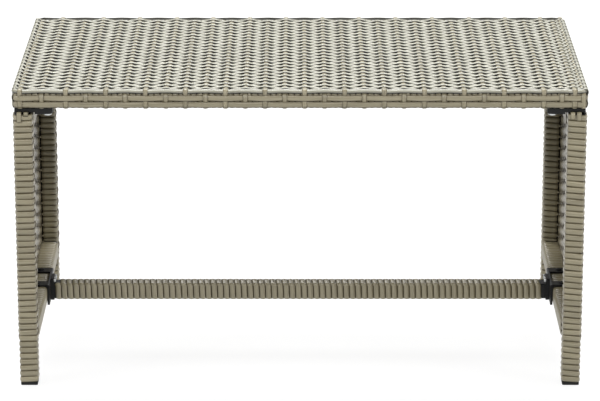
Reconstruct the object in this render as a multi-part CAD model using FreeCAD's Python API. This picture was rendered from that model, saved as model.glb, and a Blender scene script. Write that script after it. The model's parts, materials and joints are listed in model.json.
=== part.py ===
"""Wicker coffee table: a woven top bolted to two woven side frames that a stretcher ties together.

Units are millimetres. +Z is up, the long side runs along X, and the front is at -Y.
The origin is on the ground, under the middle of the table.
"""
import FreeCAD, Part
import math
import os

V = FreeCAD.Vector

# ---- driving dimensions ----
TABLE_WIDTH = 700.0
TABLE_DEPTH = 380.0
TABLE_HEIGHT = 380.0
TOP_THICKNESS = 24.0
TOP_CORNER_RADIUS = 10.0
TOP_GAP = 5.2               # air between the top and the side frames
SIDE_INSET = 1.4            # side frames stand this far inside the edge of the top

WEAVE_THICKNESS = 2.8       # two crossing layers of strip
WRAP_TOP = 1.6              # wicker wound on the tubes of the top
WRAP_SIDE = 2.2             # wicker wound on the tubes of the side frames
WRAP_STRETCHER = 1.3

TOP_TUBE = 18.0             # square steel tube under the top
SIDE_TUBE = 20.0            # square steel tube of legs, rails and stretcher
CROSS_TUBE = 15.0
TUBE_WALL = 1.2
TUBE_RADIUS = 2.0
CROSS_BAR_X = 115.0

LOWER_RAIL_Z = 66.5         # centre height
STRETCHER_Z = 64.0

FOOT_SIZE = 21.0
FOOT_FLANGE = 4.0
FOOT_PLUG_HEIGHT = 12.0
FOOT_PLUG_SLACK = 0.2

SADDLE_PLATE = 3.0
SADDLE_STRAP = 2.5
STRAP_WIDTH = 16.4
STRAP_SPACING = 54.8        # centre to centre along the rail
FLANGE_THICKNESS = 4.0
FLANGE_WIDTH = 26.0
FLANGE_HEIGHT = 29.0
FLANGE_SCREW_RADIUS = 2.0
FLANGE_SCREW_HEAD_RADIUS = 3.2
FLANGE_SCREW_HEAD_HEIGHT = 2.4
FLANGE_SCREW_RISE = 14.6    # above the centre of the stretcher

BRACKET_PLATE = 5.0         # corner plates fill most of the gap under the top
BRACKET_LENGTH = 48.0       # along the rail, from the front or rear face of the leg
BRACKET_WIDTH = 20.0
BRACKET_SETBACK = 4.5       # plate behind the face of the leg
BRACKET_SCREW_SPACING = 14.0
BRACKET_EDGE = 0.6          # rounding of the plate's rims
EAR_X = 307.0               # distance of each top bolt from the middle
EAR_RADIUS = 7.0
EAR_DROP = 2.6              # the ear hangs this far below the plate's underside
INSERT_RADIUS = 4.5         # threaded insert in the tube of the top
INSERT_FLANGE_RADIUS = 6.0
INSERT_FLANGE = 1.0
INSERT_LENGTH = 11.0
BOLT_RADIUS = 3.0
BOLT_HEAD_RADIUS = 5.2
BOLT_HEAD_HEIGHT = 2.4
SOCKET_RADIUS = 2.2         # hexagon socket, across its corners
SOCKET_DEPTH = 1.4
SCREW_RADIUS = 2.0
SCREW_HEAD_RADIUS = 3.8
SCREW_HEAD_HEIGHT = 1.8
SCREW_LENGTH = 10.0
RECESS_WIDTH = 0.9          # cross recess in a screw head
RECESS_REACH = 0.62         # of the head's radius
RECESS_DEPTH = 0.9

PANEL_THICKNESS = 2.0       # sheet under the weave
FIT_GAP = 0.1               # clearance round tubes and screws

# ---- worked out from them ----
HALF_WIDTH = TABLE_WIDTH / 2
HALF_DEPTH = TABLE_DEPTH / 2
TOP_UNDERSIDE = TABLE_HEIGHT - TOP_THICKNESS
WEAVE_UNDERSIDE = TABLE_HEIGHT - WEAVE_THICKNESS
TOP_WRAP_SIZE = TOP_TUBE + 2 * WRAP_TOP
TOP_TUBE_X = HALF_WIDTH - WEAVE_THICKNESS - TOP_WRAP_SIZE / 2
TOP_TUBE_Y = HALF_DEPTH - WEAVE_THICKNESS - TOP_WRAP_SIZE / 2
TOP_TUBE_Z = TOP_UNDERSIDE + TOP_WRAP_SIZE / 2

LEG_SIZE = SIDE_TUBE + 2 * WRAP_SIDE
LEG_X = HALF_WIDTH - SIDE_INSET - LEG_SIZE / 2
LEG_Y = HALF_DEPTH - SIDE_INSET - LEG_SIZE / 2
SIDE_TOP = TOP_UNDERSIDE - TOP_GAP
UPPER_RAIL_Z = SIDE_TOP - LEG_SIZE / 2
RAIL_INNER_X = LEG_X - LEG_SIZE / 2
RAIL_TOP_Z = LOWER_RAIL_Z + LEG_SIZE / 2
STRETCHER_SIZE = SIDE_TUBE + 2 * WRAP_STRETCHER
FLANGE_OUTER_X = RAIL_INNER_X - SADDLE_PLATE
STRETCHER_END_X = FLANGE_OUTER_X - FLANGE_THICKNESS
BRACKET_TOP_Z = SIDE_TOP + BRACKET_PLATE
BRACKET_SEAT_Z = BRACKET_TOP_Z - SCREW_HEAD_HEIGHT
EAR_UNDERSIDE = SIDE_TOP - EAR_DROP
TUBE_UNDERSIDE = TOP_TUBE_Z - TOP_TUBE / 2
TUBE_TOP_Z = TOP_TUBE_Z + TOP_TUBE / 2

SIDES = {"left": -1, "right": 1}
ENDS = {"front": -1, "rear": 1}


# ---- basic solids ----
def box(low, high):
    """A plain block between two corners, given in any order."""
    lows = [min(a, b) for a, b in zip(low, high)]
    highs = [max(a, b) for a, b in zip(low, high)]
    sizes = [b - a for a, b in zip(lows, highs)]
    return Part.makeBox(*sizes, V(*lows))


def rounded_outline(width, height, radius):
    """A closed wire in the XY plane: a rectangle with round corners, centred on the origin."""
    x, y = width / 2, height / 2
    inset = radius * (1 - 0.5 ** 0.5)
    edges = []
    for sx, sy in ((1, 1), (-1, 1), (-1, -1), (1, -1)):
        ends = [V(sx * x, sy * (y - radius), 0), V(sx * (x - radius), sy * y, 0)]
        if sx * sy < 0:
            ends.reverse()
        middle = V(sx * (x - inset), sy * (y - inset), 0)
        edges.append(Part.Arc(ends[0], middle, ends[1]).toShape())
    corners = list(edges)
    for corner, following in zip(corners, corners[1:] + corners[:1]):
        start = corner.Vertexes[-1].Point
        end = following.Vertexes[0].Point
        edges.append(Part.LineSegment(start, end).toShape())
    return Part.Wire(Part.__sortEdges__(edges))


def bar(axis, centre, length, width, height, radius=TUBE_RADIUS):
    """A round-cornered bar along an axis; width and height follow the other two axes in X, Y, Z order."""
    solid = Part.Face(rounded_outline(width, height, radius)).extrude(V(0, 0, length))
    solid.translate(V(0, 0, -length / 2))
    turns = {
        "x": FreeCAD.Rotation(V(0, 1, 0), V(0, 0, 1), V(1, 0, 0), "ZXY"),
        "y": FreeCAD.Rotation(V(1, 0, 0), V(0, 0, 1), V(0, -1, 0), "ZXY"),
        "z": FreeCAD.Rotation(),
    }
    solid.Placement = FreeCAD.Placement(V(*centre), turns[axis]).multiply(solid.Placement)
    return solid


def tube(axis, centre, length, size):
    """A square steel tube with open ends."""
    inner = size - 2 * TUBE_WALL
    hollow = bar(axis, centre, length + 1, inner, inner, TUBE_RADIUS - TUBE_WALL)
    return bar(axis, centre, length, size, size).cut(hollow)


def tube_space(axis, centre, length, size):
    """The room that a tube takes up in the wicker round it."""
    outer = size + 2 * FIT_GAP
    return bar(axis, centre, length + 2 * FIT_GAP, outer, outer)


def rod(start, radius, length, direction):
    return Part.makeCylinder(radius, length, V(*start), V(*direction))


def cut_all(shape, tools):
    for tool in tools:
        shape = shape.cut(tool)
    return shape


def save(name, *solids):
    """Write one node; several solids make a group of separate pieces."""
    shape = solids[0] if len(solids) == 1 else Part.makeCompound(list(solids))
    shape.exportStep("parts/" + name + ".step")
    boxed = shape.BoundBox
    print(f"{name:28s} solids {len(shape.Solids)}  valid {shape.isValid()}  volume {shape.Volume:9.0f}"
          f"  x {boxed.XMin:7.1f} {boxed.XMax:7.1f}  y {boxed.YMin:7.1f} {boxed.YMax:7.1f}"
          f"  z {boxed.ZMin:6.1f} {boxed.ZMax:6.1f}")


# ---- the top ----
def top_block(inset):
    """The outline of the top in plan, drawn in by an inset all round and as tall as the table."""
    return bar("z", (0, 0, TABLE_HEIGHT / 2), TABLE_HEIGHT, TABLE_WIDTH - 2 * inset, TABLE_DEPTH - 2 * inset,
               TOP_CORNER_RADIUS - inset)


def top_tubes():
    """The welded rectangle under the weave: long tubes front and rear, short ones between, two cross bars."""
    parts = {}
    long_length = 2 * TOP_TUBE_X + TOP_TUBE
    short_length = 2 * TOP_TUBE_Y - TOP_TUBE
    for end, sign in ENDS.items():
        parts[end] = ("x", (0, sign * TOP_TUBE_Y, TOP_TUBE_Z), long_length, TOP_TUBE)
    for side, sign in SIDES.items():
        parts[side] = ("y", (sign * TOP_TUBE_X, 0, TOP_TUBE_Z), short_length, TOP_TUBE)
    bar_z = TUBE_TOP_Z - PANEL_THICKNESS - CROSS_TUBE / 2
    for side, sign in SIDES.items():
        parts["cross_bar_" + side] = ("y", (sign * CROSS_BAR_X, 0, bar_z), short_length, CROSS_TUBE)
    return parts


def insert(x, y):
    """A flanged threaded insert, set from below into the front or rear tube, that takes one top bolt."""
    flange = rod((x, y, TUBE_UNDERSIDE - INSERT_FLANGE), INSERT_FLANGE_RADIUS, INSERT_FLANGE, (0, 0, 1))
    barrel = rod((x, y, TUBE_UNDERSIDE), INSERT_RADIUS, INSERT_LENGTH, (0, 0, 1))
    hole = rod((x, y, TUBE_UNDERSIDE - 2), BOLT_RADIUS + FIT_GAP, INSERT_LENGTH + 4, (0, 0, 1))
    return flange.fuse(barrel).cut(hole)


def insert_hole(x, y):
    """The room for an insert in the tube wall, and for its flange in the wicker below."""
    wall = rod((x, y, TOP_UNDERSIDE - 1), INSERT_RADIUS + FIT_GAP, INSERT_LENGTH, (0, 0, 1))
    recess_depth = TUBE_UNDERSIDE - TOP_UNDERSIDE + 1
    return wall.fuse(rod((x, y, TOP_UNDERSIDE - 1), INSERT_FLANGE_RADIUS + FIT_GAP, recess_depth, (0, 0, 1)))


def support_panel():
    """The dark sheet that lies on the cross bars and carries the weave."""
    size_x = 2 * TOP_TUBE_X - TOP_WRAP_SIZE
    size_y = 2 * TOP_TUBE_Y - TOP_WRAP_SIZE
    return box((-size_x / 2, -size_y / 2, TUBE_TOP_Z - PANEL_THICKNESS), (size_x / 2, size_y / 2, TUBE_TOP_Z))


def top_wraps(tubes, holes):
    """The wicker wound round each outer tube of the top."""
    spaces = [tube_space(*spec) for spec in tubes.values()]
    wraps = {}
    long_length = 2 * TOP_TUBE_X + TOP_WRAP_SIZE
    short_length = 2 * TOP_TUBE_Y - TOP_WRAP_SIZE
    for end, sign in ENDS.items():
        blank = bar("x", (0, sign * TOP_TUBE_Y, TOP_TUBE_Z), long_length, TOP_WRAP_SIZE, TOP_WRAP_SIZE,
                    TUBE_RADIUS + WRAP_TOP)
        wraps[end] = cut_all(blank, spaces + holes).common(top_block(WEAVE_THICKNESS))
    for side, sign in SIDES.items():
        blank = bar("y", (sign * TOP_TUBE_X, 0, TOP_TUBE_Z), short_length, TOP_WRAP_SIZE, TOP_WRAP_SIZE,
                    TUBE_RADIUS + WRAP_TOP)
        wraps[side] = cut_all(blank, spaces)
    return wraps


def top_weave():
    """The flat woven panel, with its edge rolled down over the frame."""
    middle_z = (TABLE_HEIGHT + WEAVE_UNDERSIDE) / 2
    sheet = bar("z", (0, 0, middle_z), WEAVE_THICKNESS, TABLE_WIDTH, TABLE_DEPTH, TOP_CORNER_RADIUS)
    rim = [edge for edge in sheet.Edges if edge.BoundBox.ZMin > TABLE_HEIGHT - FIT_GAP]
    return sheet.makeFillet(WEAVE_THICKNESS * 0.8, rim)


def edge_weaves():
    """The woven skin on the four edges of the top, parted at the corners."""
    height = WEAVE_UNDERSIDE - TOP_UNDERSIDE
    middle_z = TOP_UNDERSIDE + height / 2
    outer = bar("z", (0, 0, middle_z), height, TABLE_WIDTH, TABLE_DEPTH, TOP_CORNER_RADIUS)
    lower_rim = [edge for edge in outer.Edges if edge.BoundBox.ZMax < TOP_UNDERSIDE + FIT_GAP]
    outer = outer.makeFillet(WEAVE_THICKNESS * 0.8, lower_rim)
    ring = outer.cut(top_block(WEAVE_THICKNESS - FIT_GAP))
    split = HALF_DEPTH - TOP_CORNER_RADIUS
    skins = {}
    for end, sign in ENDS.items():
        far_corner = (HALF_WIDTH, sign * HALF_DEPTH, TABLE_HEIGHT)
        skins[end] = ring.common(box((-HALF_WIDTH, sign * split, 0), far_corner))
    for side, sign in SIDES.items():
        skins[side] = ring.common(box((0, -split, 0), (sign * HALF_WIDTH, split, TABLE_HEIGHT)))
    return skins


# ---- one side frame ----
def leg_length():
    return SIDE_TOP - WRAP_SIDE - FOOT_FLANGE


def side_tubes(sx):
    """Two legs and two rails, as square tubes."""
    tube_middle_z = FOOT_FLANGE + leg_length() / 2
    rail_length = 2 * LEG_Y - SIDE_TUBE
    return {
        "front_leg": ("z", (sx * LEG_X, -LEG_Y, tube_middle_z), leg_length(), SIDE_TUBE),
        "rear_leg": ("z", (sx * LEG_X, LEG_Y, tube_middle_z), leg_length(), SIDE_TUBE),
        "upper_rail": ("y", (sx * LEG_X, 0, UPPER_RAIL_Z), rail_length, SIDE_TUBE),
        "lower_rail": ("y", (sx * LEG_X, 0, LOWER_RAIL_Z), rail_length, SIDE_TUBE),
    }


def side_wraps(sx, tubes):
    """The wicker wound round the legs and the rails; it closes over the top of each leg."""
    spaces = [tube_space(*spec) for spec in tubes.values()]
    radius = TUBE_RADIUS + WRAP_SIDE
    wrap_length = SIDE_TOP - FOOT_FLANGE
    rail_length = 2 * LEG_Y - LEG_SIZE
    blanks = {
        "front_leg": bar("z", (sx * LEG_X, -LEG_Y, FOOT_FLANGE + wrap_length / 2), wrap_length,
                         LEG_SIZE, LEG_SIZE, radius),
        "rear_leg": bar("z", (sx * LEG_X, LEG_Y, FOOT_FLANGE + wrap_length / 2), wrap_length,
                        LEG_SIZE, LEG_SIZE, radius),
        "upper_rail": bar("y", (sx * LEG_X, 0, UPPER_RAIL_Z), rail_length, LEG_SIZE, LEG_SIZE, radius),
        "lower_rail": bar("y", (sx * LEG_X, 0, LOWER_RAIL_Z), rail_length, LEG_SIZE, LEG_SIZE, radius),
    }
    return {name: cut_all(blank, spaces) for name, blank in blanks.items()}


def side_panel(sx):
    """The flat woven panel between the legs, flush with their outer faces."""
    outer = LEG_X + LEG_SIZE / 2
    half_length = LEG_Y - LEG_SIZE / 2
    return box((sx * outer, -half_length, RAIL_TOP_Z),
               (sx * (outer - WEAVE_THICKNESS), half_length, UPPER_RAIL_Z - LEG_SIZE / 2))


def foot(sx, sy):
    """A plastic end cap: a plug up the leg tube and a flange that meets the ground."""
    flange = bar("z", (sx * LEG_X, sy * LEG_Y, FOOT_FLANGE / 2), FOOT_FLANGE, FOOT_SIZE, FOOT_SIZE)
    rim = [edge for edge in flange.Edges if edge.BoundBox.ZMax < FIT_GAP]
    flange = flange.makeFillet(FOOT_FLANGE / 4, rim)
    plug_size = SIDE_TUBE - 2 * (TUBE_WALL + FOOT_PLUG_SLACK)
    plug_z = FOOT_FLANGE + FOOT_PLUG_HEIGHT / 2
    plug = bar("z", (sx * LEG_X, sy * LEG_Y, plug_z), FOOT_PLUG_HEIGHT, plug_size, plug_size, 1.0)
    return flange.fuse(plug).removeSplitter()


# ---- the stretcher and its end fixings ----
def saddle(sx):
    """A bent steel saddle: a plate on the inner face of the lower rail and two straps over the rail."""
    half_length = (STRAP_SPACING + STRAP_WIDTH) / 2
    bottom = LOWER_RAIL_Z - LEG_SIZE / 2
    top = RAIL_TOP_Z + SADDLE_STRAP
    plate = box((sx * RAIL_INNER_X, -half_length, bottom), (sx * FLANGE_OUTER_X, half_length, top))
    panel_face = LEG_X + LEG_SIZE / 2 - WEAVE_THICKNESS
    for sy in ENDS.values():
        middle = sy * STRAP_SPACING / 2
        strap = box((sx * (panel_face - FIT_GAP), middle - STRAP_WIDTH / 2, RAIL_TOP_Z),
                    (sx * FLANGE_OUTER_X, middle + STRAP_WIDTH / 2, top))
        plate = plate.fuse(strap)
    joined = plate.removeSplitter()
    bend = [edge for edge in joined.Edges
            if edge.Length > STRAP_WIDTH and abs(edge.CenterOfMass.z - top) < FIT_GAP
            and abs(edge.CenterOfMass.x - sx * FLANGE_OUTER_X) < FIT_GAP]
    return joined.makeFillet(SADDLE_STRAP * 0.8, bend)


def end_flange(sx):
    """The steel plate welded to each end of the stretcher."""
    middle_x = sx * (FLANGE_OUTER_X + STRETCHER_END_X) / 2
    middle_z = STRETCHER_Z + (FLANGE_HEIGHT - STRETCHER_SIZE) / 2
    return bar("x", (middle_x, 0, middle_z), FLANGE_THICKNESS, FLANGE_WIDTH, FLANGE_HEIGHT, 3.0)


def flange_screw(sx, sy):
    """A short screw that ties a stretcher flange to its saddle; its head faces the middle of the table."""
    y, z = flange_screw_place(sy)
    face_x = STRETCHER_END_X - FLANGE_SCREW_HEAD_HEIGHT
    head = rod((sx * face_x, y, z), FLANGE_SCREW_HEAD_RADIUS, FLANGE_SCREW_HEAD_HEIGHT, (sx, 0, 0))
    rim = [edge for edge in head.Edges if abs(edge.CenterOfMass.x - sx * face_x) < FIT_GAP]
    head = head.makeFillet(FLANGE_SCREW_HEAD_HEIGHT * 0.4, rim)
    shank_length = FLANGE_THICKNESS + SADDLE_PLATE - SADDLE_PLATE / 6
    shank = rod((sx * STRETCHER_END_X, y, z), FLANGE_SCREW_RADIUS, shank_length, (sx, 0, 0))
    reach = RECESS_REACH * FLANGE_SCREW_HEAD_RADIUS
    upright = box((sx * (face_x - 1), y - RECESS_WIDTH / 2, z - reach),
                  (sx * (face_x + RECESS_DEPTH), y + RECESS_WIDTH / 2, z + reach))
    level = box((sx * (face_x - 1), y - reach, z - RECESS_WIDTH / 2),
                (sx * (face_x + RECESS_DEPTH), y + reach, z + RECESS_WIDTH / 2))
    return head.fuse(shank).cut(upright).cut(level)


def flange_screw_place(sy):
    return sy * FLANGE_WIDTH / 4, STRETCHER_Z + FLANGE_SCREW_RISE


def flange_screw_hole(sx, sy):
    start = (sx * STRETCHER_END_X, *flange_screw_place(sy))
    return rod(start, FLANGE_SCREW_RADIUS + FIT_GAP, FLANGE_THICKNESS + SADDLE_PLATE, (sx, 0, 0))


def down_screw(x, y, seat_z):
    """A cross-recessed pan-head screw driven straight down, its head resting at seat_z."""
    top_z = seat_z + SCREW_HEAD_HEIGHT
    head = rod((x, y, seat_z), SCREW_HEAD_RADIUS, SCREW_HEAD_HEIGHT, (0, 0, 1))
    rim = [edge for edge in head.Edges if edge.BoundBox.ZMin > top_z - FIT_GAP]
    head = head.makeFillet(SCREW_HEAD_HEIGHT * 0.45, rim)
    shank = rod((x, y, seat_z - SCREW_LENGTH), SCREW_RADIUS, SCREW_LENGTH, (0, 0, 1))
    reach = RECESS_REACH * SCREW_HEAD_RADIUS
    floor_z = top_z - RECESS_DEPTH
    along = box((x - reach, y - RECESS_WIDTH / 2, floor_z), (x + reach, y + RECESS_WIDTH / 2, top_z + 1))
    across = box((x - RECESS_WIDTH / 2, y - reach, floor_z), (x + RECESS_WIDTH / 2, y + reach, top_z + 1))
    return head.fuse(shank).cut(along).cut(across)


def down_screw_hole(x, y, seat_z):
    shank = rod((x, y, seat_z - SCREW_LENGTH), SCREW_RADIUS + FIT_GAP, SCREW_LENGTH + FIT_GAP, (0, 0, 1))
    return shank.fuse(rod((x, y, seat_z), SCREW_HEAD_RADIUS + FIT_GAP, 2 * SCREW_HEAD_HEIGHT, (0, 0, 1)))


# ---- the corner plates that hold the top ----
def corner_bracket(sx, sy):
    """A plate on the end of the upper rail, with an ear that reaches inward to the top bolt."""
    end_y = sy * (LEG_Y + LEG_SIZE / 2 - BRACKET_SETBACK)
    on_rail = box((sx * (LEG_X - BRACKET_WIDTH / 2), end_y, SIDE_TOP),
                  (sx * (LEG_X + BRACKET_WIDTH / 2), end_y - sy * BRACKET_LENGTH, BRACKET_TOP_Z))
    neck = box((sx * LEG_X, sy * TOP_TUBE_Y - EAR_RADIUS, SIDE_TOP),
               (sx * EAR_X, sy * TOP_TUBE_Y + EAR_RADIUS, BRACKET_TOP_Z))
    ear_start = sx * (RAIL_INNER_X - EAR_DROP)
    ear = box((ear_start, sy * TOP_TUBE_Y - EAR_RADIUS, EAR_UNDERSIDE),
              (sx * EAR_X, sy * TOP_TUBE_Y + EAR_RADIUS, BRACKET_TOP_Z))
    ear_height = BRACKET_TOP_Z - EAR_UNDERSIDE
    tip = rod((sx * EAR_X, sy * TOP_TUBE_Y, EAR_UNDERSIDE), EAR_RADIUS, ear_height, (0, 0, 1))
    plate = on_rail.fuse(neck).fuse(ear).fuse(tip).removeSplitter()
    rims = [edge for edge in plate.Edges
            if edge.BoundBox.ZMin > BRACKET_TOP_Z - FIT_GAP or edge.BoundBox.ZMax < EAR_UNDERSIDE + FIT_GAP]
    plate = plate.makeFillet(BRACKET_EDGE, rims)
    hole_start = (sx * EAR_X, sy * TOP_TUBE_Y, EAR_UNDERSIDE - 1)
    return plate.cut(rod(hole_start, BOLT_RADIUS + FIT_GAP, ear_height + 2, (0, 0, 1)))


def bracket_screw_ys(sy):
    """Where the two screws of a corner plate lie along the rail."""
    middle = sy * (LEG_Y + LEG_SIZE / 2 - BRACKET_SETBACK - BRACKET_LENGTH + BRACKET_SCREW_SPACING)
    return [middle + step * BRACKET_SCREW_SPACING / 2 for step in (-1, 1)]


def top_bolt(x, y):
    """A low pan-head bolt with a hexagon socket, pushed up through a corner plate and into its insert."""
    head_z = EAR_UNDERSIDE - BOLT_HEAD_HEIGHT
    head = rod((x, y, head_z), BOLT_HEAD_RADIUS, BOLT_HEAD_HEIGHT, (0, 0, 1))
    rim = [edge for edge in head.Edges if edge.BoundBox.ZMax < head_z + FIT_GAP]
    head = head.makeFillet(BOLT_HEAD_HEIGHT / 2, rim)
    corners = [math.radians(60 * i) for i in range(7)]
    outline = [V(x + SOCKET_RADIUS * math.cos(a), y + SOCKET_RADIUS * math.sin(a), head_z - 1)
               for a in corners]
    socket = Part.Face(Part.makePolygon(outline)).extrude(V(0, 0, 1 + SOCKET_DEPTH))
    head = head.cut(socket)
    shank_end = TUBE_UNDERSIDE + INSERT_LENGTH - 1
    return head.fuse(rod((x, y, EAR_UNDERSIDE), BOLT_RADIUS, shank_end - EAR_UNDERSIDE, (0, 0, 1)))


# ---- the whole table ----
def build_top(bolt_places):
    tubes = top_tubes()
    holes = [insert_hole(x, y) for x, y in bolt_places]
    for name, spec in tubes.items():
        label = "top_" + name if name.startswith("cross_bar") else "top_tube_" + name
        save(label, cut_all(tube(*spec).common(top_block(WEAVE_THICKNESS + WRAP_TOP)), holes))
    save("top_inserts", *[insert(x, y) for x, y in bolt_places])
    for name, wrap in top_wraps(tubes, holes).items():
        save("top_wrap_" + name, wrap)
    for name, skin in edge_weaves().items():
        save("edge_weave_" + name, skin)
    save("top_support_panel", support_panel())
    save("top_weave", top_weave())
    save("top_bolts", *[top_bolt(x, y) for x, y in bolt_places])


def build_side(side, sx):
    """One side frame; every screw that enters it gets its hole."""
    screw_places = [(sx * LEG_X, y, z) for y, z in screw_points()]
    holes = [down_screw_hole(*place) for place in screw_places]
    tubes = side_tubes(sx)
    for name, spec in tubes.items():
        save(f"{side}_{name}_tube", cut_all(tube(*spec), holes))
    for name, wrap in side_wraps(sx, tubes).items():
        save(f"{side}_{name}_wrap", cut_all(wrap, holes))
    save(f"{side}_side_weave", side_panel(sx))
    for end, sy in ENDS.items():
        save(f"{side}_{end}_foot", foot(sx, sy))
        save(f"{side}_{end}_bracket", cut_all(corner_bracket(sx, sy), holes))
    flange_holes = [flange_screw_hole(sx, sy) for sy in ENDS.values()]
    save(f"{side}_saddle", cut_all(saddle(sx), holes + flange_holes))
    save(f"{side}_stretcher_flange", cut_all(end_flange(sx), flange_holes))
    return screw_places


def screw_points():
    """Y and seat height of each screw that goes down into a rail: two per corner plate, one per strap."""
    places = []
    for sy in ENDS.values():
        places += [(y, BRACKET_SEAT_Z) for y in bracket_screw_ys(sy)]
        places.append((sy * STRAP_SPACING / 2, RAIL_TOP_Z + SADDLE_STRAP))
    return places


def build_stretcher():
    spec = ("x", (0, 0, STRETCHER_Z), 2 * STRETCHER_END_X, SIDE_TUBE)
    save("stretcher_tube", tube(*spec))
    sleeve = bar("x", (0, 0, STRETCHER_Z), 2 * STRETCHER_END_X, STRETCHER_SIZE, STRETCHER_SIZE,
                 TUBE_RADIUS + WRAP_STRETCHER + 2)
    heads = [flange_screw(sx, sy) for sx in SIDES.values() for sy in ENDS.values()]
    save("stretcher_wrap", cut_all(sleeve, [tube_space(*spec)]))
    save("flange_screws", *heads)


def main():
    os.makedirs("parts", exist_ok=True)
    build_top([(sx * EAR_X, sy * TOP_TUBE_Y) for sx in SIDES.values() for sy in ENDS.values()])
    screw_places = []
    for side, sx in SIDES.items():
        screw_places += build_side(side, sx)
    save("bracket_screws", *[down_screw(*place) for place in screw_places if place[2] == BRACKET_SEAT_Z])
    save("saddle_screws", *[down_screw(*place) for place in screw_places if place[2] != BRACKET_SEAT_Z])
    build_stretcher()


main()
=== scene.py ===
import itertools
import json
import math
import random

import bmesh
import bpy
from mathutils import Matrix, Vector


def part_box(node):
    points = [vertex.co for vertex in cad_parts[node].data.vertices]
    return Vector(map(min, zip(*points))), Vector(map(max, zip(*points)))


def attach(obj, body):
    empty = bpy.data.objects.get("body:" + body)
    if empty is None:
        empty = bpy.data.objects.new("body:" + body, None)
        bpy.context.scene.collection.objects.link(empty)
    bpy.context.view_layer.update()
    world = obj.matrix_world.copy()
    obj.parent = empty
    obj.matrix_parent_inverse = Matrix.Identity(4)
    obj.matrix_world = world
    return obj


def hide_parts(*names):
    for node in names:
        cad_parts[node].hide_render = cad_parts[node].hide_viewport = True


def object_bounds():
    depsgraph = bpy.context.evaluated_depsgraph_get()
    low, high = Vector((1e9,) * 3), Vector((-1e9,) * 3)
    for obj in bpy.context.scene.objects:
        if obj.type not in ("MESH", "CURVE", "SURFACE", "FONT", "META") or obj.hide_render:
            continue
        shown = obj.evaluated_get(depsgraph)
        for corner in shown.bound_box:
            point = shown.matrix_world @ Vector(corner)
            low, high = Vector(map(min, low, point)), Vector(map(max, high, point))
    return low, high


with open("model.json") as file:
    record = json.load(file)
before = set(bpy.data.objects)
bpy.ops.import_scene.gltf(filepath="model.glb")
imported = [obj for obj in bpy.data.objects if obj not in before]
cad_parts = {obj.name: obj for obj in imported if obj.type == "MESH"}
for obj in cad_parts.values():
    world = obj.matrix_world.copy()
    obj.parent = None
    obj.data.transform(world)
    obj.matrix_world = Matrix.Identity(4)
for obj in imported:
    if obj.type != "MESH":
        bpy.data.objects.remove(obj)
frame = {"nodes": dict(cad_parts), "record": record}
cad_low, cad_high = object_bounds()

# ---------------------------------------------------------------------------
# Studio: a glowing paper floor, and a camera that looks down through a long
# lens. Two wide softboxes behind the table make its top shine, a weak one
# lights its front, and one stands off each of its front corners.
# ---------------------------------------------------------------------------
scene = bpy.context.scene


def srgb(code):
    """An sRGB hex colour as linear RGBA."""
    channels = [int(code[i:i + 2], 16) / 255 for i in (1, 3, 5)]
    linear = [c / 12.92 if c <= 0.04045 else ((c + 0.055) / 1.055) ** 2.4 for c in channels]
    return (*linear, 1.0)


def new_material(name, **settings):
    """A material with one Principled shader, wired to its output."""
    material = bpy.data.materials.new(name)
    material.use_nodes = True
    shader = material.node_tree.nodes["Principled BSDF"]
    for key, value in settings.items():
        shader.inputs[key.replace("_", " ")].default_value = value
    return material, shader


def softbox(name, place, aim, width, height, power):
    """A rectangular area light that faces a point."""
    light = bpy.data.lights.new(name, "AREA")
    light.shape = "RECTANGLE"
    light.size, light.size_y, light.energy = width, height, power
    lamp = bpy.data.objects.new(name, light)
    lamp.location = place
    lamp.rotation_euler = (Vector(aim) - Vector(place)).to_track_quat("-Z", "Y").to_euler()
    scene.collection.objects.link(lamp)


CAMERA_DISTANCE = 3.70          # in front of the table's front edge
CAMERA_HEIGHT = 1.358
CAMERA_TILT = 16.80             # degrees below level
FOCAL_LENGTH = 190.0            # on a 36 mm wide sensor
camera_data = bpy.data.cameras.new("camera")
camera_data.sensor_width = 36.0
camera_data.lens = FOCAL_LENGTH
camera_data.clip_end = 200.0
camera = bpy.data.objects.new("camera", camera_data)
camera.location = (0.0, cad_low.y - CAMERA_DISTANCE, CAMERA_HEIGHT)
camera.rotation_euler = (math.radians(90 - CAMERA_TILT), 0, 0)
scene.collection.objects.link(camera)
scene.camera = camera

softbox("overhead_softbox", (0.0, 1.2, 3.0), (0, 0, 0.38), 3.2, 0.7, 98)
softbox("rear_softbox", (0.0, 3.3, 2.7), (0, 0, 0.38), 5.0, 1.0, 68)
softbox("front_softbox", (0.0, -1.7, 1.25), (0, 0, 0.2), 2.0, 0.4, 11)
for side, sx in (("left", -1), ("right", 1)):
    softbox(side + "_softbox", (3.4 * sx, -1.6, 1.4), (0, 0, 0.2), 1.2, 1.2, 38)

world = bpy.data.worlds.new("studio")
world.use_nodes = True
background = world.node_tree.nodes["Background"]
background.inputs["Color"].default_value = (1, 1, 1, 1)
background.inputs["Strength"].default_value = 0.34
scene.world = world
scene.view_settings.view_transform = "Standard"

floor_bm = bmesh.new()
bmesh.ops.create_grid(floor_bm, x_segments=1, y_segments=1, size=30)
floor_mesh = bpy.data.meshes.new("floor")
floor_bm.to_mesh(floor_mesh)
floor_bm.free()
floor = bpy.data.objects.new("floor", floor_mesh)
scene.collection.objects.link(floor)
floor_paper, _ = new_material("white_paper_floor", Base_Color=srgb("#7C7C7C"), Roughness=0.9,
                              Emission_Color=(1, 1, 1, 1), Emission_Strength=0.85)
floor_mesh.materials.append(floor_paper)
floor.visible_diffuse = False           # the table is lit from below by the room alone

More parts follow.
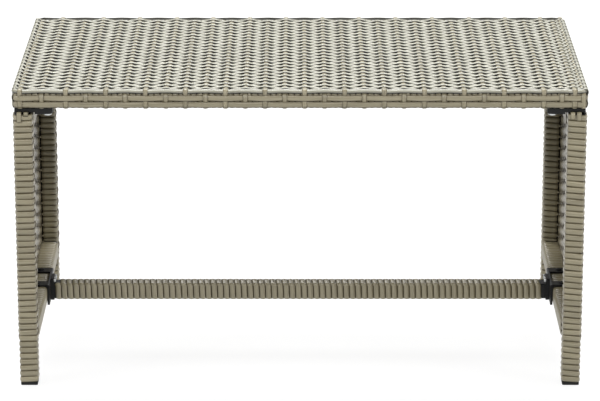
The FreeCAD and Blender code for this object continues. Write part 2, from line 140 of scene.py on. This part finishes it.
# ---------------------------------------------------------------------------
# Flat rattan strip: extruded polyethylene, about 7 mm wide and 1.3 mm thick,
# slightly crowned, beige grey with fine streaks along its length. Every woven
# and wound piece of the table is laid from it.
# ---------------------------------------------------------------------------
MM = 0.001
X_AXIS, Y_AXIS, Z_AXIS = Vector((1, 0, 0)), Vector((0, 1, 0)), Vector((0, 0, 1))
STRIP_WIDTH = 6.4 * MM
STRIP_THICKNESS = 1.25 * MM
STRIP_CROWN = 0.85 * MM
UV_LANE = 20 * MM               # each strip has its own lane across the UV map, and fills half of it
STREAK_WIDTH = 10 * MM / 13     # the streaks that drawing leaves along the strip
STREAK_LENGTH = 62.5 * MM
CLOUD_WIDTH = 6.25 * MM         # softer clouding along the strip
CLOUD_LENGTH = 20 * MM
BEND_STEPS = 3
strip_numbers = itertools.count()
random.seed(7)


def lay_strip(bm, points, sides, width=STRIP_WIDTH, crown=STRIP_CROWN, across=4):
    """Lay one strip through points; sides gives its width direction, one for all or one for each point.

    The crowned face looks along (direction of travel) x (side)."""
    uv = bm.loops.layers.uv.verify()
    number = next(strip_numbers)
    if isinstance(sides, Vector):
        sides = [sides] * len(points)
    run = len(points) - 1
    verts = bmesh.ops.create_grid(bm, x_segments=run, y_segments=across, size=0.5)["verts"]
    lengths = [random.uniform(0, 5)]
    for before, after in zip(points, points[1:]):
        lengths.append(lengths[-1] + (after - before).length)
    frames = []
    for i, point in enumerate(points):
        travel = (points[min(i + 1, run)] - points[max(i - 1, 0)]).normalized()
        normal = travel.cross(sides[i]).normalized()
        frames.append((point, normal.cross(travel), normal))
    places = {}
    for vert in verts:
        i = round((vert.co.x + 0.5) * run)
        share = round((vert.co.y + 0.5) * across) / across
        point, side, normal = frames[i]
        offset = 2 * share - 1
        vert.co = point + side * (offset * width / 2) - normal * (crown * offset * offset)
        places[vert] = ((number + share / 2) * UV_LANE, lengths[i])
    for face in {face for vert in verts for face in vert.link_faces}:
        for loop in face.loops:
            loop[uv].uv = places[loop.vert]


def thicken(piece, thickness=STRIP_THICKNESS):
    """Give laid strips their thickness."""
    solid = piece.modifiers.new("thickness", "SOLIDIFY")
    solid.thickness = thickness
    solid.offset = 0.0


def add_node(material, kind, links=(), **settings):
    """Add one shader node; settings name its properties, or its inputs by name or by _number."""
    node = material.node_tree.nodes.new(kind)
    for key, value in settings.items():
        if key.startswith("_"):
            node.inputs[int(key[1:])].default_value = value
        elif key.replace("_", " ") in node.inputs:
            node.inputs[key.replace("_", " ")].default_value = value
        else:
            setattr(node, key, value)
    for target, source in dict(links).items():
        material.node_tree.links.new(source, node.inputs[target])
    return node


def streaked_strip(name, light, middle, dark, edge_shade_colour, shaded_edge_share):
    """Extruded polyethylene strip: satin, with drawn streaks, and each strip a little different in tone.

    The eye gets soft straw-like streaks; both edges of each strip are painted darker, a painted shade for the
    groove where two strips meet."""
    material, shader = new_material(name, Roughness=0.33, IOR=1.52, Specular_IOR_Level=0.8)
    uv = add_node(material, "ShaderNodeUVMap")
    parts = add_node(material, "ShaderNodeSeparateXYZ", {"Vector": uv.outputs["UV"]})
    lane = add_node(material, "ShaderNodeMath", {0: parts.outputs["X"]}, operation="DIVIDE", _1=UV_LANE)
    number = add_node(material, "ShaderNodeMath", {0: lane.outputs[0]}, operation="FLOOR")
    share = add_node(material, "ShaderNodeMath", {0: lane.outputs[0]}, operation="FRACT")
    tone = add_node(material, "ShaderNodeTexWhiteNoise", {"W": number.outputs[0]}, noise_dimensions="1D")
    stretch = add_node(material, "ShaderNodeMapping", {"Vector": uv.outputs["UV"]},
                       Scale=(1 / STREAK_WIDTH, 1 / STREAK_LENGTH, 1))
    streaks = add_node(material, "ShaderNodeTexNoise", {"Vector": stretch.outputs[0]},
                       Scale=1.0, Detail=3.0, Roughness=0.6)
    smear = add_node(material, "ShaderNodeMapping", {"Vector": uv.outputs["UV"]},
                     Scale=(1 / CLOUD_WIDTH, 1 / CLOUD_LENGTH, 1))
    clouds = add_node(material, "ShaderNodeTexNoise", {"Vector": smear.outputs[0]}, Scale=1.0, Detail=2.0)
    ramp = add_node(material, "ShaderNodeValToRGB", {"Fac": streaks.outputs["Fac"]})
    ramp.color_ramp.elements[0].position = 0.3
    ramp.color_ramp.elements[0].color = dark
    ramp.color_ramp.elements[1].position = 0.7
    ramp.color_ramp.elements[1].color = light
    ramp.color_ramp.elements.new(0.5).color = middle
    shade = add_node(material, "ShaderNodeMath", {0: tone.outputs["Value"], 1: clouds.outputs["Fac"]})
    level = add_node(material, "ShaderNodeMapRange", {"Value": shade.outputs[0]},
                     From_Min=0.3, From_Max=1.7, To_Min=0.82, To_Max=1.12)
    colour = add_node(material, "ShaderNodeVectorMath", {0: ramp.outputs["Color"], 1: level.outputs[0]},
                      operation="MULTIPLY")
    # The lane is half full, so a strip's two edges lie at shares 0 and 0.5.
    # Painted shade: the colour darkens towards both edges of the strip, where the groove between two strips
    # lies in shade.
    edge = add_node(material, "ShaderNodeValToRGB", {"Fac": share.outputs[0]})
    edge.color_ramp.elements[0].position = 0.0
    edge.color_ramp.elements[0].color = (1, 1, 1, 1)
    edge.color_ramp.elements[1].position = 0.5
    edge.color_ramp.elements[1].color = (1, 1, 1, 1)
    for place in (shaded_edge_share, 0.5 - shaded_edge_share):
        edge.color_ramp.elements.new(place).color = (0, 0, 0, 1)
    edge_shaded = add_node(material, "ShaderNodeMix", {"Factor": edge.outputs["Color"], 6: colour.outputs[0]},
                    data_type="RGBA", _7=edge_shade_colour)
    bump = add_node(material, "ShaderNodeBump", {"Height": streaks.outputs["Fac"]}, Strength=0.25,
                    Distance=0.2 * MM)
    material.node_tree.links.new(edge_shaded.outputs[2], shader.inputs["Base Color"])
    material.node_tree.links.new(bump.outputs[0], shader.inputs["Normal"])
    return material


# The last colour and share give the painted shade along the edges of each strip.
strip = streaked_strip("streaked_polyethylene_strip", srgb("#AFA68B"), srgb("#9F967A"), srgb("#837A60"),
                       srgb("#544932"), 0.08)
# The same strip for the weave of the top and the roll at its edge, painted greyer and lighter as a painted
# sheen of the light on the top,
# and with wider, darker edges: painted shade in the gaps between the strips.
woven_strip = streaked_strip("streaked_polyethylene_strip_woven", srgb("#B3B1A0"), srgb("#A4A290"),
                             srgb("#888673"), srgb("#1C180F"), 0.12)


def bend(centre, start, end, radius, out, over):
    """Points round a corner from angle start to angle end, in the plane of two directions."""
    angles = [start + (end - start) * i / BEND_STEPS for i in range(BEND_STEPS + 1)]
    return [centre + radius * (math.cos(a) * out + math.sin(a) * over) for a in angles]


def crossing(phase, sharpness=1.7):
    """The rise and fall of a strip over and under its crossings: 1 at an even phase and -1 at an odd one."""
    wave = math.cos(math.pi * phase)
    return math.copysign(abs(wave) ** sharpness, wave)


# ---------------------------------------------------------------------------
# Top weave: strips run the long way (wefts) over and under flat strips that
# run front to rear (warps). Both turn down over the frame and are tucked in
# below it. The right end is closed with three warps set close together.
# ---------------------------------------------------------------------------
top_low, top_high = cad_low, cad_high   # the top is as long and as deep as the whole table
WEAVE_Z = top_high.z - 2.5 * MM         # middle of the weave
WEFT_OVER = 1.6 * MM                    # a weft peaks sharply over a warp, and sags deep under the next
WEFT_UNDER = 2.0 * MM
WEFT_WIDTH = 7.4 * MM
WEFT_PITCH = 7.7 * MM
WEFT_COUNT = 48
WARP_WIDTH = 5.6 * MM
WARP_PITCH = 24.1 * MM
EDGE_INSET = 1.8 * MM                   # middle of the woven skin, in from the sides of the top
SKIN_LOW_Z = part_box("edge_weave_front")[0].z + 0.3 * MM
FOLD = 2.2 * MM                         # radius of the fold at the lower edge
TUCK = 15 * MM

# The warps are even but for the ends: wide bays at the left, and a crowd of three at the right.
warp_xs = [top_low.x + 11.0 * MM, top_low.x + 36.7 * MM]
warp_xs += [top_low.x + 66.7 * MM + i * WARP_PITCH for i in range(25)]
warp_xs += [top_high.x - 33.2 * MM, top_high.x - 17.0 * MM, top_high.x - 6.8 * MM]
weft_ys = [(i - (WEFT_COUNT - 1) / 2) * WEFT_PITCH for i in range(WEFT_COUNT)]

ROLL_INSET = 3.0 * MM                   # the strip rolled over the upper corner
ROLL_Z = top_high.z - 1.6 * MM
ROLL_TILT = math.radians(57)
ROLL_WIDTH = 6.3 * MM
BAND_ZS = [top_high.z - 10.6 * MM, top_high.z - 18.7 * MM]  # middles of the two bands below it
BAND_RISE = 0.8 * MM
BAND_SHOULDER = 1.5 * MM                # a strip lies almost flat this far each side of a band's middle


def finish_mesh(name, bm, material, slot, *replaced):
    """Turn a bmesh into a piece that rides on the table and stands for some CAD nodes."""
    mesh = bpy.data.meshes.new(name)
    bm.to_mesh(mesh)
    bm.free()
    mesh.shade_smooth()
    piece = bpy.data.objects.new(name, mesh)
    scene.collection.objects.link(piece)
    mesh.materials.append(material)
    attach(piece, "root")
    if replaced:
        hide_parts(*replaced)
    return piece


def warp_phase(x):
    """Where x lies in the row of warps, in warps from the first."""
    if x <= warp_xs[0]:
        return (x - warp_xs[0]) / WARP_PITCH
    for i, (left, right) in enumerate(zip(warp_xs, warp_xs[1:])):
        if x <= right:
            return i + (x - left) / (right - left)
    return len(warp_xs) - 1 + (x - warp_xs[-1]) / WARP_PITCH


def edge_drop(parity, out, along):
    """Points of a strip that turns down over one edge of the top, from the top weave to the tuck below.

    With parity 1 it passes over the roll, under the upper band and over the lower one."""
    def at(inset, z):
        return along - out * inset + Z_AXIS * z

    if parity > 0:
        over = 1.35 * MM
        points = [at(ROLL_INSET + 5.2 * MM, WEAVE_Z + 0.5 * MM), at(ROLL_INSET + 3.4 * MM, ROLL_Z + 1.3 * MM),
                  at(ROLL_INSET - over * math.cos(ROLL_TILT), ROLL_Z + over * math.sin(ROLL_TILT)),
                  at(0.9 * MM, ROLL_Z - 1.6 * MM), at(0.7 * MM, ROLL_Z - 3.4 * MM),
                  at(1.3 * MM, ROLL_Z - 5.0 * MM)]
    else:
        points = [at(ROLL_INSET + 5.2 * MM, WEAVE_Z - 0.3 * MM), at(ROLL_INSET + 3.0 * MM, ROLL_Z - 1.6 * MM),
                  at(ROLL_INSET + 1.1 * MM, ROLL_Z - 3.0 * MM), at(ROLL_INSET - 0.5 * MM, ROLL_Z - 4.6 * MM)]
    middle_z = sum(BAND_ZS) / 2
    for z, rise in ((BAND_ZS[0] + BAND_SHOULDER, -0.8), (BAND_ZS[0], -1), (BAND_ZS[0] - BAND_SHOULDER, -0.8),
                    (middle_z, 0),
                    (BAND_ZS[1] + BAND_SHOULDER, 0.8), (BAND_ZS[1], 1), (BAND_ZS[1] - BAND_SHOULDER, 0.8),
                    (BAND_ZS[1] - 3.4 * MM, 0.3)):
        points.append(at(EDGE_INSET - parity * rise * BAND_RISE, z))
    points += bend(at(EDGE_INSET + FOLD, SKIN_LOW_Z + FOLD), 0, -math.pi / 2, FOLD, out, Z_AXIS)
    points.append(at(TUCK, SKIN_LOW_Z + 0.3 * MM))
    return points


BAY_STEPS = (0, 0.09, 0.19, 0.31, 0.5, 0.69, 0.81, 0.91)    # close together near the crossings
weft_bm = bmesh.new()
for row, y in enumerate(weft_ys):
    parity = 1 if row % 2 == 0 else -1
    line = Y_AXIS * (y + random.uniform(-0.2, 0.2) * MM)
    run = []
    for left, right in zip(warp_xs, warp_xs[1:]):
        for step in BAY_STEPS:
            x = left + (right - left) * step
            phase = warp_phase(x)
            high = parity * crossing(phase, 3.0)
            rise = high * WEFT_OVER if high > 0 else parity * crossing(phase, 1.2) * WEFT_UNDER
            run.append(line + X_AXIS * x + Z_AXIS * (WEAVE_Z + rise))
    left_end = edge_drop(-parity, -X_AXIS, line + X_AXIS * top_low.x)
    right_end = edge_drop(parity, X_AXIS, line + X_AXIS * top_high.x)
    lay_strip(weft_bm, left_end[::-1] + run + right_end[1:], Y_AXIS, width=WEFT_WIDTH)
thicken(finish_mesh("top_wefts", weft_bm, woven_strip, "wicker", "top_weave", "edge_weave_left",
                    "edge_weave_right", "top_wrap_left", "top_wrap_right"))

warp_bm = bmesh.new()
for column, x in enumerate(warp_xs):
    parity = 1 if column % 2 == 0 else -1
    line = X_AXIS * (x + random.uniform(-0.4, 0.4) * MM)
    run = []
    steps = 2 * WEFT_COUNT
    for i in range(3, steps - 2):
        y = top_low.y + (top_high.y - top_low.y) * i / steps
        row = (y - weft_ys[0]) / WEFT_PITCH
        rise = 0.25 * MM * (1 - parity * math.cos(math.pi * row))
        run.append(line + Y_AXIS * y + Z_AXIS * (WEAVE_Z + rise))
    front = edge_drop(parity, -Y_AXIS, line + Y_AXIS * top_low.y)
    rear = edge_drop(-parity, Y_AXIS, line + Y_AXIS * top_high.y)
    lay_strip(warp_bm, front[::-1] + run + rear, -X_AXIS, width=WARP_WIDTH, crown=0.7 * MM, across=3)
thicken(finish_mesh("top_warps", warp_bm, strip, "wicker", "edge_weave_front", "edge_weave_rear"))

# ---------------------------------------------------------------------------
# Edge bands: three strips that run right round the edge of the top. The first
# is rolled over the upper corner, the other two lie on the side of the frame,
# and the warps and wefts that turn down pass over and under them.
# ---------------------------------------------------------------------------
BAND_CORNER = 8.5 * MM
BAND_WIDTH = 7.2 * MM
LONG_SIDE_STEP = 3 * MM                 # the crossings along the front and rear are far apart
SHORT_SIDE_STEP = 2 * MM


def band_track(inset):
    """Points round the top, drawn in by an inset, each with its outward direction and its crossing phase."""
    half_x = top_high.x - inset
    half_y = top_high.y - inset
    track = []
    for sx, sy, along_x in ((-1, -1, True), (1, -1, False), (1, 1, True), (-1, 1, False)):
        out = Vector((0, sy, 0)) if along_x else Vector((sx, 0, 0))
        travel = Vector((-sx, 0, 0)) if along_x else Vector((0, -sy, 0))
        start = Vector((sx * half_x, sy * half_y, 0)) + travel * BAND_CORNER
        straight = 2 * ((half_x if along_x else half_y) - BAND_CORNER)
        steps = round(straight / (LONG_SIDE_STEP if along_x else SHORT_SIDE_STEP))
        # The crossings of the rear and left sides are the other way round, so their phase is one more.
        for i in range(steps + 1):
            point = start + travel * (straight * i / steps)
            if along_x:
                phase = warp_phase(point.x) + (0 if sy < 0 else 1)
            else:
                phase = (point.y - weft_ys[0]) / WEFT_PITCH + (1 if sx < 0 else 0)
            track.append((point, out, phase))
        pivot = start + travel * straight - out * BAND_CORNER
        for i in (1, 2, 3, 4):
            angle = math.pi / 2 * i / 5
            turned = out * math.cos(angle) + travel * math.sin(angle)
            track.append((pivot + turned * BAND_CORNER, turned, 0.5))
    track.append(track[0])
    return track


band_bm = bmesh.new()
for level, z in enumerate(BAND_ZS):
    parity = 1 if level == 0 else -1
    points = []
    for point, out, phase in band_track(EDGE_INSET):
        rise = parity * BAND_RISE * crossing(phase, 1.2)
        points.append(point + out * rise + Z_AXIS * z)
    lay_strip(band_bm, points, Z_AXIS, width=BAND_WIDTH, crown=0.4 * MM)
thicken(finish_mesh("edge_bands", band_bm, strip, "wicker"))
roll_bm = bmesh.new()
roll_points, roll_sides = [], []
for point, out, phase in band_track(ROLL_INSET):
    rise = -0.45 * MM * crossing(phase, 1.2)
    facing = out * math.cos(ROLL_TILT) + Z_AXIS * math.sin(ROLL_TILT)
    roll_points.append(point + Z_AXIS * ROLL_Z + facing * rise)
    roll_sides.append(Z_AXIS * math.cos(ROLL_TILT) - out * math.sin(ROLL_TILT))
lay_strip(roll_bm, roll_points, roll_sides, width=ROLL_WIDTH, crown=1.1 * MM)
thicken(finish_mesh("edge_roll", roll_bm, woven_strip, "wicker"))

# ---------------------------------------------------------------------------
# Wound tubes: strip wound side by side round a square steel tube, as a helix
# with flat faces and round corners. The front and rear tubes of the top come
# first; the rails and the stretcher are wound in the same way.
# ---------------------------------------------------------------------------
WIND_PITCH = 7.45 * MM
WIND_INSET = 0.7 * MM                   # middle of the strip, in from the outside of the winding
TOP_TUBE_SINK = 0.9 * MM                # the winding is pressed flat where the weave lies on it


def wind(bm, start, end, out, half_out, half_over, corner, pitch=WIND_PITCH, width=STRIP_WIDTH + 0.3 * MM,
         crown=STRIP_CROWN):
    """Wind a strip from start to end round a bar of a given half size; out is one of its face directions."""
    axis = (end - start).normalized()
    over = axis.cross(out)
    length = (end - start).length
    turns = max(1, round(length / pitch))
    section = []
    for quarter in range(4):
        angle = quarter * math.pi / 2
        first = out * math.cos(angle) + over * math.sin(angle)
        second = over * math.cos(angle) - out * math.sin(angle)
        half_first = half_out if quarter % 2 == 0 else half_over
        half_second = half_over if quarter % 2 == 0 else half_out
        pivot = first * (half_first - corner) + second * (half_second - corner)
        section += bend(pivot, 0, math.pi / 2, corner, first, second)
    points = []
    for turn in range(turns):
        for i, offset in enumerate(section):
            share = (turn + i / len(section)) / turns
            points.append(start + axis * (width / 2 + (length - width) * share) + offset)
    lay_strip(bm, points, axis, width=width, crown=crown)


for end in ("front", "rear"):
    low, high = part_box("top_wrap_" + end)
    middle = (low + high) / 2
    half = (high.y - low.y) / 2 - WIND_INSET
    sunk_z = middle.z - TOP_TUBE_SINK
    wrap_bm = bmesh.new()
    wind(wrap_bm, Vector((low.x, middle.y, sunk_z)), Vector((high.x, middle.y, sunk_z)), Z_AXIS,
         half - TOP_TUBE_SINK, half, 2.5 * MM)
    thicken(finish_mesh("top_tube_winding_" + end, wrap_bm, strip, "wicker", "top_wrap_" + end))

# ---------------------------------------------------------------------------
# Side frames: each row of strip runs along the outer side, over and under the
# upright stakes, and turns right round both legs. Below the lower rail the
# rows go on as rings down to the feet. Both rails are wound first.
# ---------------------------------------------------------------------------
ROW_PITCH = 7.7 * MM
ROW_WIDTH = 7.3 * MM
ROW_CROWN = 1.3 * MM
ROW_START = 2.3 * MM                    # first row, down from the top of the leg
ROW_LAP = 3.5 * MM                      # the first and last row of the panel lap the rails by up to this much
LEG_FACE = 11.0 * MM                    # middle of the strip, out from the centre of the leg
LEG_CORNER = 3.6 * MM
PANEL_PLANE = 11.4 * MM
PANEL_RISE = 1.15 * MM
LEG_RISE = 1.45 * MM
STAKE_BAYS = 14
STAKE_WIDTH = 4.6 * MM
RAIL_FACE = 12.4 * MM                   # middle of a stake where it lies on the winding of a rail
RAIL_EDGE = 11.5 * MM                   # and where it leaves the rail for the panel
RAIL_CORNER = 4.5 * MM
POINTS_PER_BAY = 6
STAKE_POINTS = 30
LOOP_END = 8.2 * MM                     # the loops stop here on the face towards the panel
ROW_SLANT = {-1: 0.02, 1: 0.09}         # the right side was woven with its rows dropping outwards
INNER_LIFT = {-1: 0.6, 1: 0.0}          # only the left legs have a stake on their inner face


def side_row(bm, leg, sx, z, slant, parity, panel, staked):
    """One row of a side frame at one height: round the rear leg, along the panel and round the front leg.

    It drops by the slant towards the outside, and rises over the leg stakes where the legs are staked."""
    out = X_AXIS * sx
    ahead = -Y_AXIS
    flat = LEG_FACE - LEG_CORNER

    def corner(centre, first, second):
        pivot = centre + first * flat + second * flat
        return bend(pivot, 0, math.pi / 2, LEG_CORNER, first, second)

    def face(centre, facing, travel, bump):
        """The flat of one leg face, with the strip raised over a stake at its middle if bump is set."""
        points = []
        for share in (-0.6, -0.3, 0, 0.3, 0.6):
            lift = bump * staked * LEG_RISE * max(0.0, math.cos(math.pi / 2 * share / 0.75)) ** 1.5
            points.append(centre + facing * (LEG_FACE + lift) + travel * (share * flat))
        return points

    over = 1 if parity > 0 else 0
    rear = Vector((leg.x, leg.y, z))
    front = Vector((leg.x, -leg.y, z))
    rear_loop = [rear + ahead * LEG_FACE + out * LOOP_END]
    rear_loop += face(rear, ahead, -out, 0) + corner(rear, ahead, -out)
    rear_loop += face(rear, -out, -ahead, INNER_LIFT[sx] * (1 - over)) + corner(rear, -out, -ahead)
    rear_loop += face(rear, -ahead, out, 0) + corner(rear, -ahead, out)
    rear_loop += face(rear, out, ahead, over)
    front_loop = face(front, out, ahead, over) + corner(front, out, ahead)
    front_loop += face(front, ahead, -out, 0) + corner(front, ahead, -out)
    front_loop += face(front, -out, -ahead, INNER_LIFT[sx] * (1 - over)) + corner(front, -out, -ahead)
    front_loop += [*face(front, -ahead, out, 0), front - ahead * LEG_FACE + out * LOOP_END]
    if panel and parity > 0:
        for centre, toward in ((rear, ahead), (front, -ahead)):
            twist = [centre + toward * (LEG_FACE + 4 * MM) + out * (PANEL_PLANE - 1 * MM),
                     centre + toward * (LEG_FACE + 1 * MM) + out * (LOOP_END + 1.4 * MM),
                     centre + toward * (LEG_FACE + 0.3 * MM) + out * (LOOP_END - 1 * MM)]
            lay_strip(bm, twist, Z_AXIS * (-sx if toward == ahead else sx), width=2.4 * MM, crown=0.4 * MM,
                      across=2)
    span = []
    if panel:
        steps = STAKE_BAYS * POINTS_PER_BAY
        for i in range(steps + 1):
            y = leg.y - 2 * leg.y * i / steps
            if abs(y) <= leg.y - LEG_FACE:
                rise = parity * PANEL_RISE * crossing(i / POINTS_PER_BAY)
                span.append(Vector((leg.x, y, z)) + out * (PANEL_PLANE + rise))
        runs = [rear_loop + span + front_loop]
    else:
        runs = [rear_loop + corner(rear, out, ahead), [*corner(front, -ahead, out), *front_loop]]
    for run in runs:
        points = [point - Z_AXIS * slant * (point.x - leg.x) * sx for point in run]
        lay_strip(bm, points, Z_AXIS * -sx, width=ROW_WIDTH, crown=ROW_CROWN)


def lay_stake(bm, out, x, y, profile, side):
    """An upright strip; profile gives its height and its distance out from the frame's middle plane."""
    lay_strip(bm, [Vector((x, y, z)) + out * distance for z, distance in profile], side, width=STAKE_WIDTH,
              crown=0.5 * MM, across=3)


for side, sx in (("left", -1), ("right", 1)):
    out = X_AXIS * sx
    low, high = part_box(side + "_rear_leg_wrap")
    leg = Vector(((low.x + high.x) / 2, (low.y + high.y) / 2, 0))
    panel_low, panel_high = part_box(side + "_side_weave")
    rail_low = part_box(side + "_lower_rail_wrap")[0].z
    leg_top = high.z
    first_row = leg_top - ROW_START
    rows = round((first_row - low.z) / ROW_PITCH)
    pitch = (first_row - low.z) / rows
    row_bm = bmesh.new()
    for i in range(rows):
        z = first_row - pitch * (i + 0.5)
        parity = 1 if i % 2 == 0 else -1
        slant = ROW_SLANT[sx] + random.uniform(-0.03, 0.03)
        side_row(row_bm, leg, sx, z + random.uniform(-0.15, 0.15) * MM, slant, parity,
                 panel_low.z - ROW_LAP < z < panel_high.z + ROW_LAP, z > rail_low)
    thicken(finish_mesh(side + "_side_rows", row_bm, strip, "wicker", side + "_side_weave",
                        side + "_front_leg_wrap", side + "_rear_leg_wrap"))

    # Upright stakes: through the panel and over both rails, and one on the outer face of each leg. The left
    # legs have one on their inner face too.
    stake_bm = bmesh.new()
    for bay in range(1, STAKE_BAYS):
        y = leg.y - 2 * leg.y * bay / STAKE_BAYS
        profile = [(rail_low + 2 * MM, RAIL_FACE - 1 * MM), (rail_low + 5 * MM, RAIL_FACE),
                   (panel_low.z - 5 * MM, RAIL_FACE), (panel_low.z, RAIL_EDGE)]
        span = panel_high.z - panel_low.z - 8 * MM
        for i in range(STAKE_POINTS + 1):
            profile.append((panel_low.z + 4 * MM + span * i / STAKE_POINTS, PANEL_PLANE))
        profile += [(panel_high.z, RAIL_EDGE), (panel_high.z + 5 * MM, RAIL_FACE),
                    (leg_top - 5 * MM, RAIL_FACE), (leg_top - 2 * MM, RAIL_FACE - 1 * MM)]
        lay_stake(stake_bm, out, leg.x, y, profile, Y_AXIS * -sx)
    staked_rows = int((first_row - rail_low) / pitch)
    for y in (leg.y, -leg.y):
        for facing, first in ((out, 1), (-out, -1)):
            if facing != out and not INNER_LIFT[sx]:
                continue
            profile = []
            for i in range(staked_rows * 4 + 1):
                wave = first * math.cos(math.pi * (i / 4 - 0.5))
                profile.append((first_row - pitch * i / 4, LEG_FACE + 0.5 * MM - 0.65 * MM * wave))
            lay_stake(stake_bm, facing, leg.x, y, profile, Y_AXIS * (sx if facing == out else -sx))
    thicken(finish_mesh(side + "_side_stakes", stake_bm, strip, "wicker"))

    # Windings of the two rails.
    for rail in ("upper_rail", "lower_rail"):
        low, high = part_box(f"{side}_{rail}_wrap")
        middle = (low + high) / 2
        half = (high.z - low.z) / 2 - WIND_INSET
        wind_bm = bmesh.new()
        wind(wind_bm, Vector((middle.x, low.y, middle.z)), Vector((middle.x, high.y, middle.z)), Z_AXIS,
             half, half, RAIL_CORNER)
        thicken(finish_mesh(f"{side}_{rail}_winding", wind_bm, strip, "wicker", f"{side}_{rail}_wrap"))

# ---------------------------------------------------------------------------
# Leg ends: two strips are laid over the top of each leg, under the corner
# plate, and their ends spring forward and are pressed down over the rows.
# ---------------------------------------------------------------------------
CAP_HANGS = {                           # offset across the leg, and how far the end hangs down
    "left": ((-4.1 * MM, 12.0 * MM), (4.2 * MM, 4.4 * MM)),
    "right": ((-5.7 * MM, 8.0 * MM), (1.9 * MM, 9.6 * MM)),
}
CAP_FACE = LEG_FACE + 1.4 * MM          # middle of a cap strip where it hangs over the rows of the leg
cap_bm = bmesh.new()
for side, sx in (("left", -1), ("right", 1)):
    for end, sy in (("front", -1), ("rear", 1)):
        low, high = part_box(f"{side}_{end}_leg_wrap")
        centre = (low + high) / 2
        ahead = Y_AXIS * sy
        for offset, hang in CAP_HANGS[side]:
            top = Vector((centre.x + offset, centre.y, high.z))
            profile = [(-10 * MM, -1.1 * MM), (6.4 * MM, -1.1 * MM), (9.4 * MM, 0.3 * MM),
                       (11.2 * MM, 0.5 * MM), (12.6 * MM, -0.8 * MM), (CAP_FACE, -3.0 * MM),
                       (CAP_FACE, 1.6 * MM - hang), (CAP_FACE - 0.9 * MM, -hang)]
            points = [top + ahead * reach + Z_AXIS * rise for reach, rise in profile]
            lay_strip(cap_bm, points, X_AXIS * -sy, width=WARP_WIDTH, crown=0.5 * MM)
thicken(finish_mesh("leg_cap_strips", cap_bm, strip, "wicker"))

# ---------------------------------------------------------------------------
# Stretcher: a square steel tube, wound with strip like the rails, from one
# end flange to the other. Its turns are the widest, and its corners sharp.
# ---------------------------------------------------------------------------
low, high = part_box("stretcher_wrap")
middle = (low + high) / 2
half = (high.z - low.z) / 2 - WIND_INSET
stretcher_bm = bmesh.new()
wind(stretcher_bm, Vector((low.x, middle.y, middle.z)), Vector((high.x, middle.y, middle.z)), Z_AXIS,
     half, half, 2.7 * MM, pitch=7.8 * MM, width=7.2 * MM, crown=1.2 * MM)
thicken(finish_mesh("stretcher_winding", stretcher_bm, strip, "wicker", "stretcher_wrap"))

# ---------------------------------------------------------------------------
# Frame, plates and screws: the welded tubes, the saddles and the stretcher
# flanges are powder coated, the feet, corner plates and support panel are
# moulded plastic, and the bolts, inserts and flange screws are zinc plated.
# ---------------------------------------------------------------------------
FINISH_CLOUD = 12 * MM


def grained_finish(name, low, high, grain, depth, **settings):
    """A dark or bright skin with a fine grain: two tones in soft clouds, and a bump of a given grain size."""
    material, shader = new_material(name, **settings)
    place = add_node(material, "ShaderNodeTexCoord")
    clouds = add_node(material, "ShaderNodeTexNoise", {"Vector": place.outputs["Object"]},
                      Scale=1 / FINISH_CLOUD, Detail=3.0)
    tones = add_node(material, "ShaderNodeValToRGB", {"Fac": clouds.outputs["Fac"]})
    tones.color_ramp.elements[0].position = 0.35
    tones.color_ramp.elements[0].color = low
    tones.color_ramp.elements[1].position = 0.65
    tones.color_ramp.elements[1].color = high
    pores = add_node(material, "ShaderNodeTexNoise", {"Vector": place.outputs["Object"]}, Scale=1 / grain,
                     Detail=2.0)
    bump = add_node(material, "ShaderNodeBump", {"Height": pores.outputs["Fac"]}, Strength=0.4,
                    Distance=depth)
    material.node_tree.links.new(tones.outputs["Color"], shader.inputs["Base Color"])
    material.node_tree.links.new(bump.outputs[0], shader.inputs["Normal"])
    return material


# Baked polyester powder: satin black with the faint orange peel of the baked coat.
powder = grained_finish("satin_powder_coat", srgb("#060607"), srgb("#0C0C0D"), 1.6 * MM, 0.06 * MM,
                        Roughness=0.42, Specular_IOR_Level=0.3)
# The support panel under the top weave takes this finish: a dark sheet that stands in for the shade seen
# through the gaps of the weave.
# Injection-moulded polypropylene: duller, with the sparked grain of the mould.
plastic = grained_finish("moulded_polypropylene", srgb("#080808"), srgb("#0E0E0D"), 0.7 * MM, 0.05 * MM,
                         Roughness=0.5, Specular_IOR_Level=0.3)
# Bright zinc over steel: silvery, a little cloudy from the bath.
zinc = grained_finish("bright_zinc_plate", srgb("#B9BBBC"), srgb("#D6D8D6"), 0.9 * MM, 0.02 * MM,
                      Roughness=0.28, Metallic=1.0)
finishes = {"frame_steel": powder, "black_steel": powder, "black_plastic": plastic, "zinc": zinc,
            "wicker": strip}
node_slots = {part["node"]: part["material_slot"] for part in frame["record"]["subparts"]}
for name, node in frame["nodes"].items():
    node.data.materials.clear()
    node.data.materials.append(finishes[node_slots[name]])
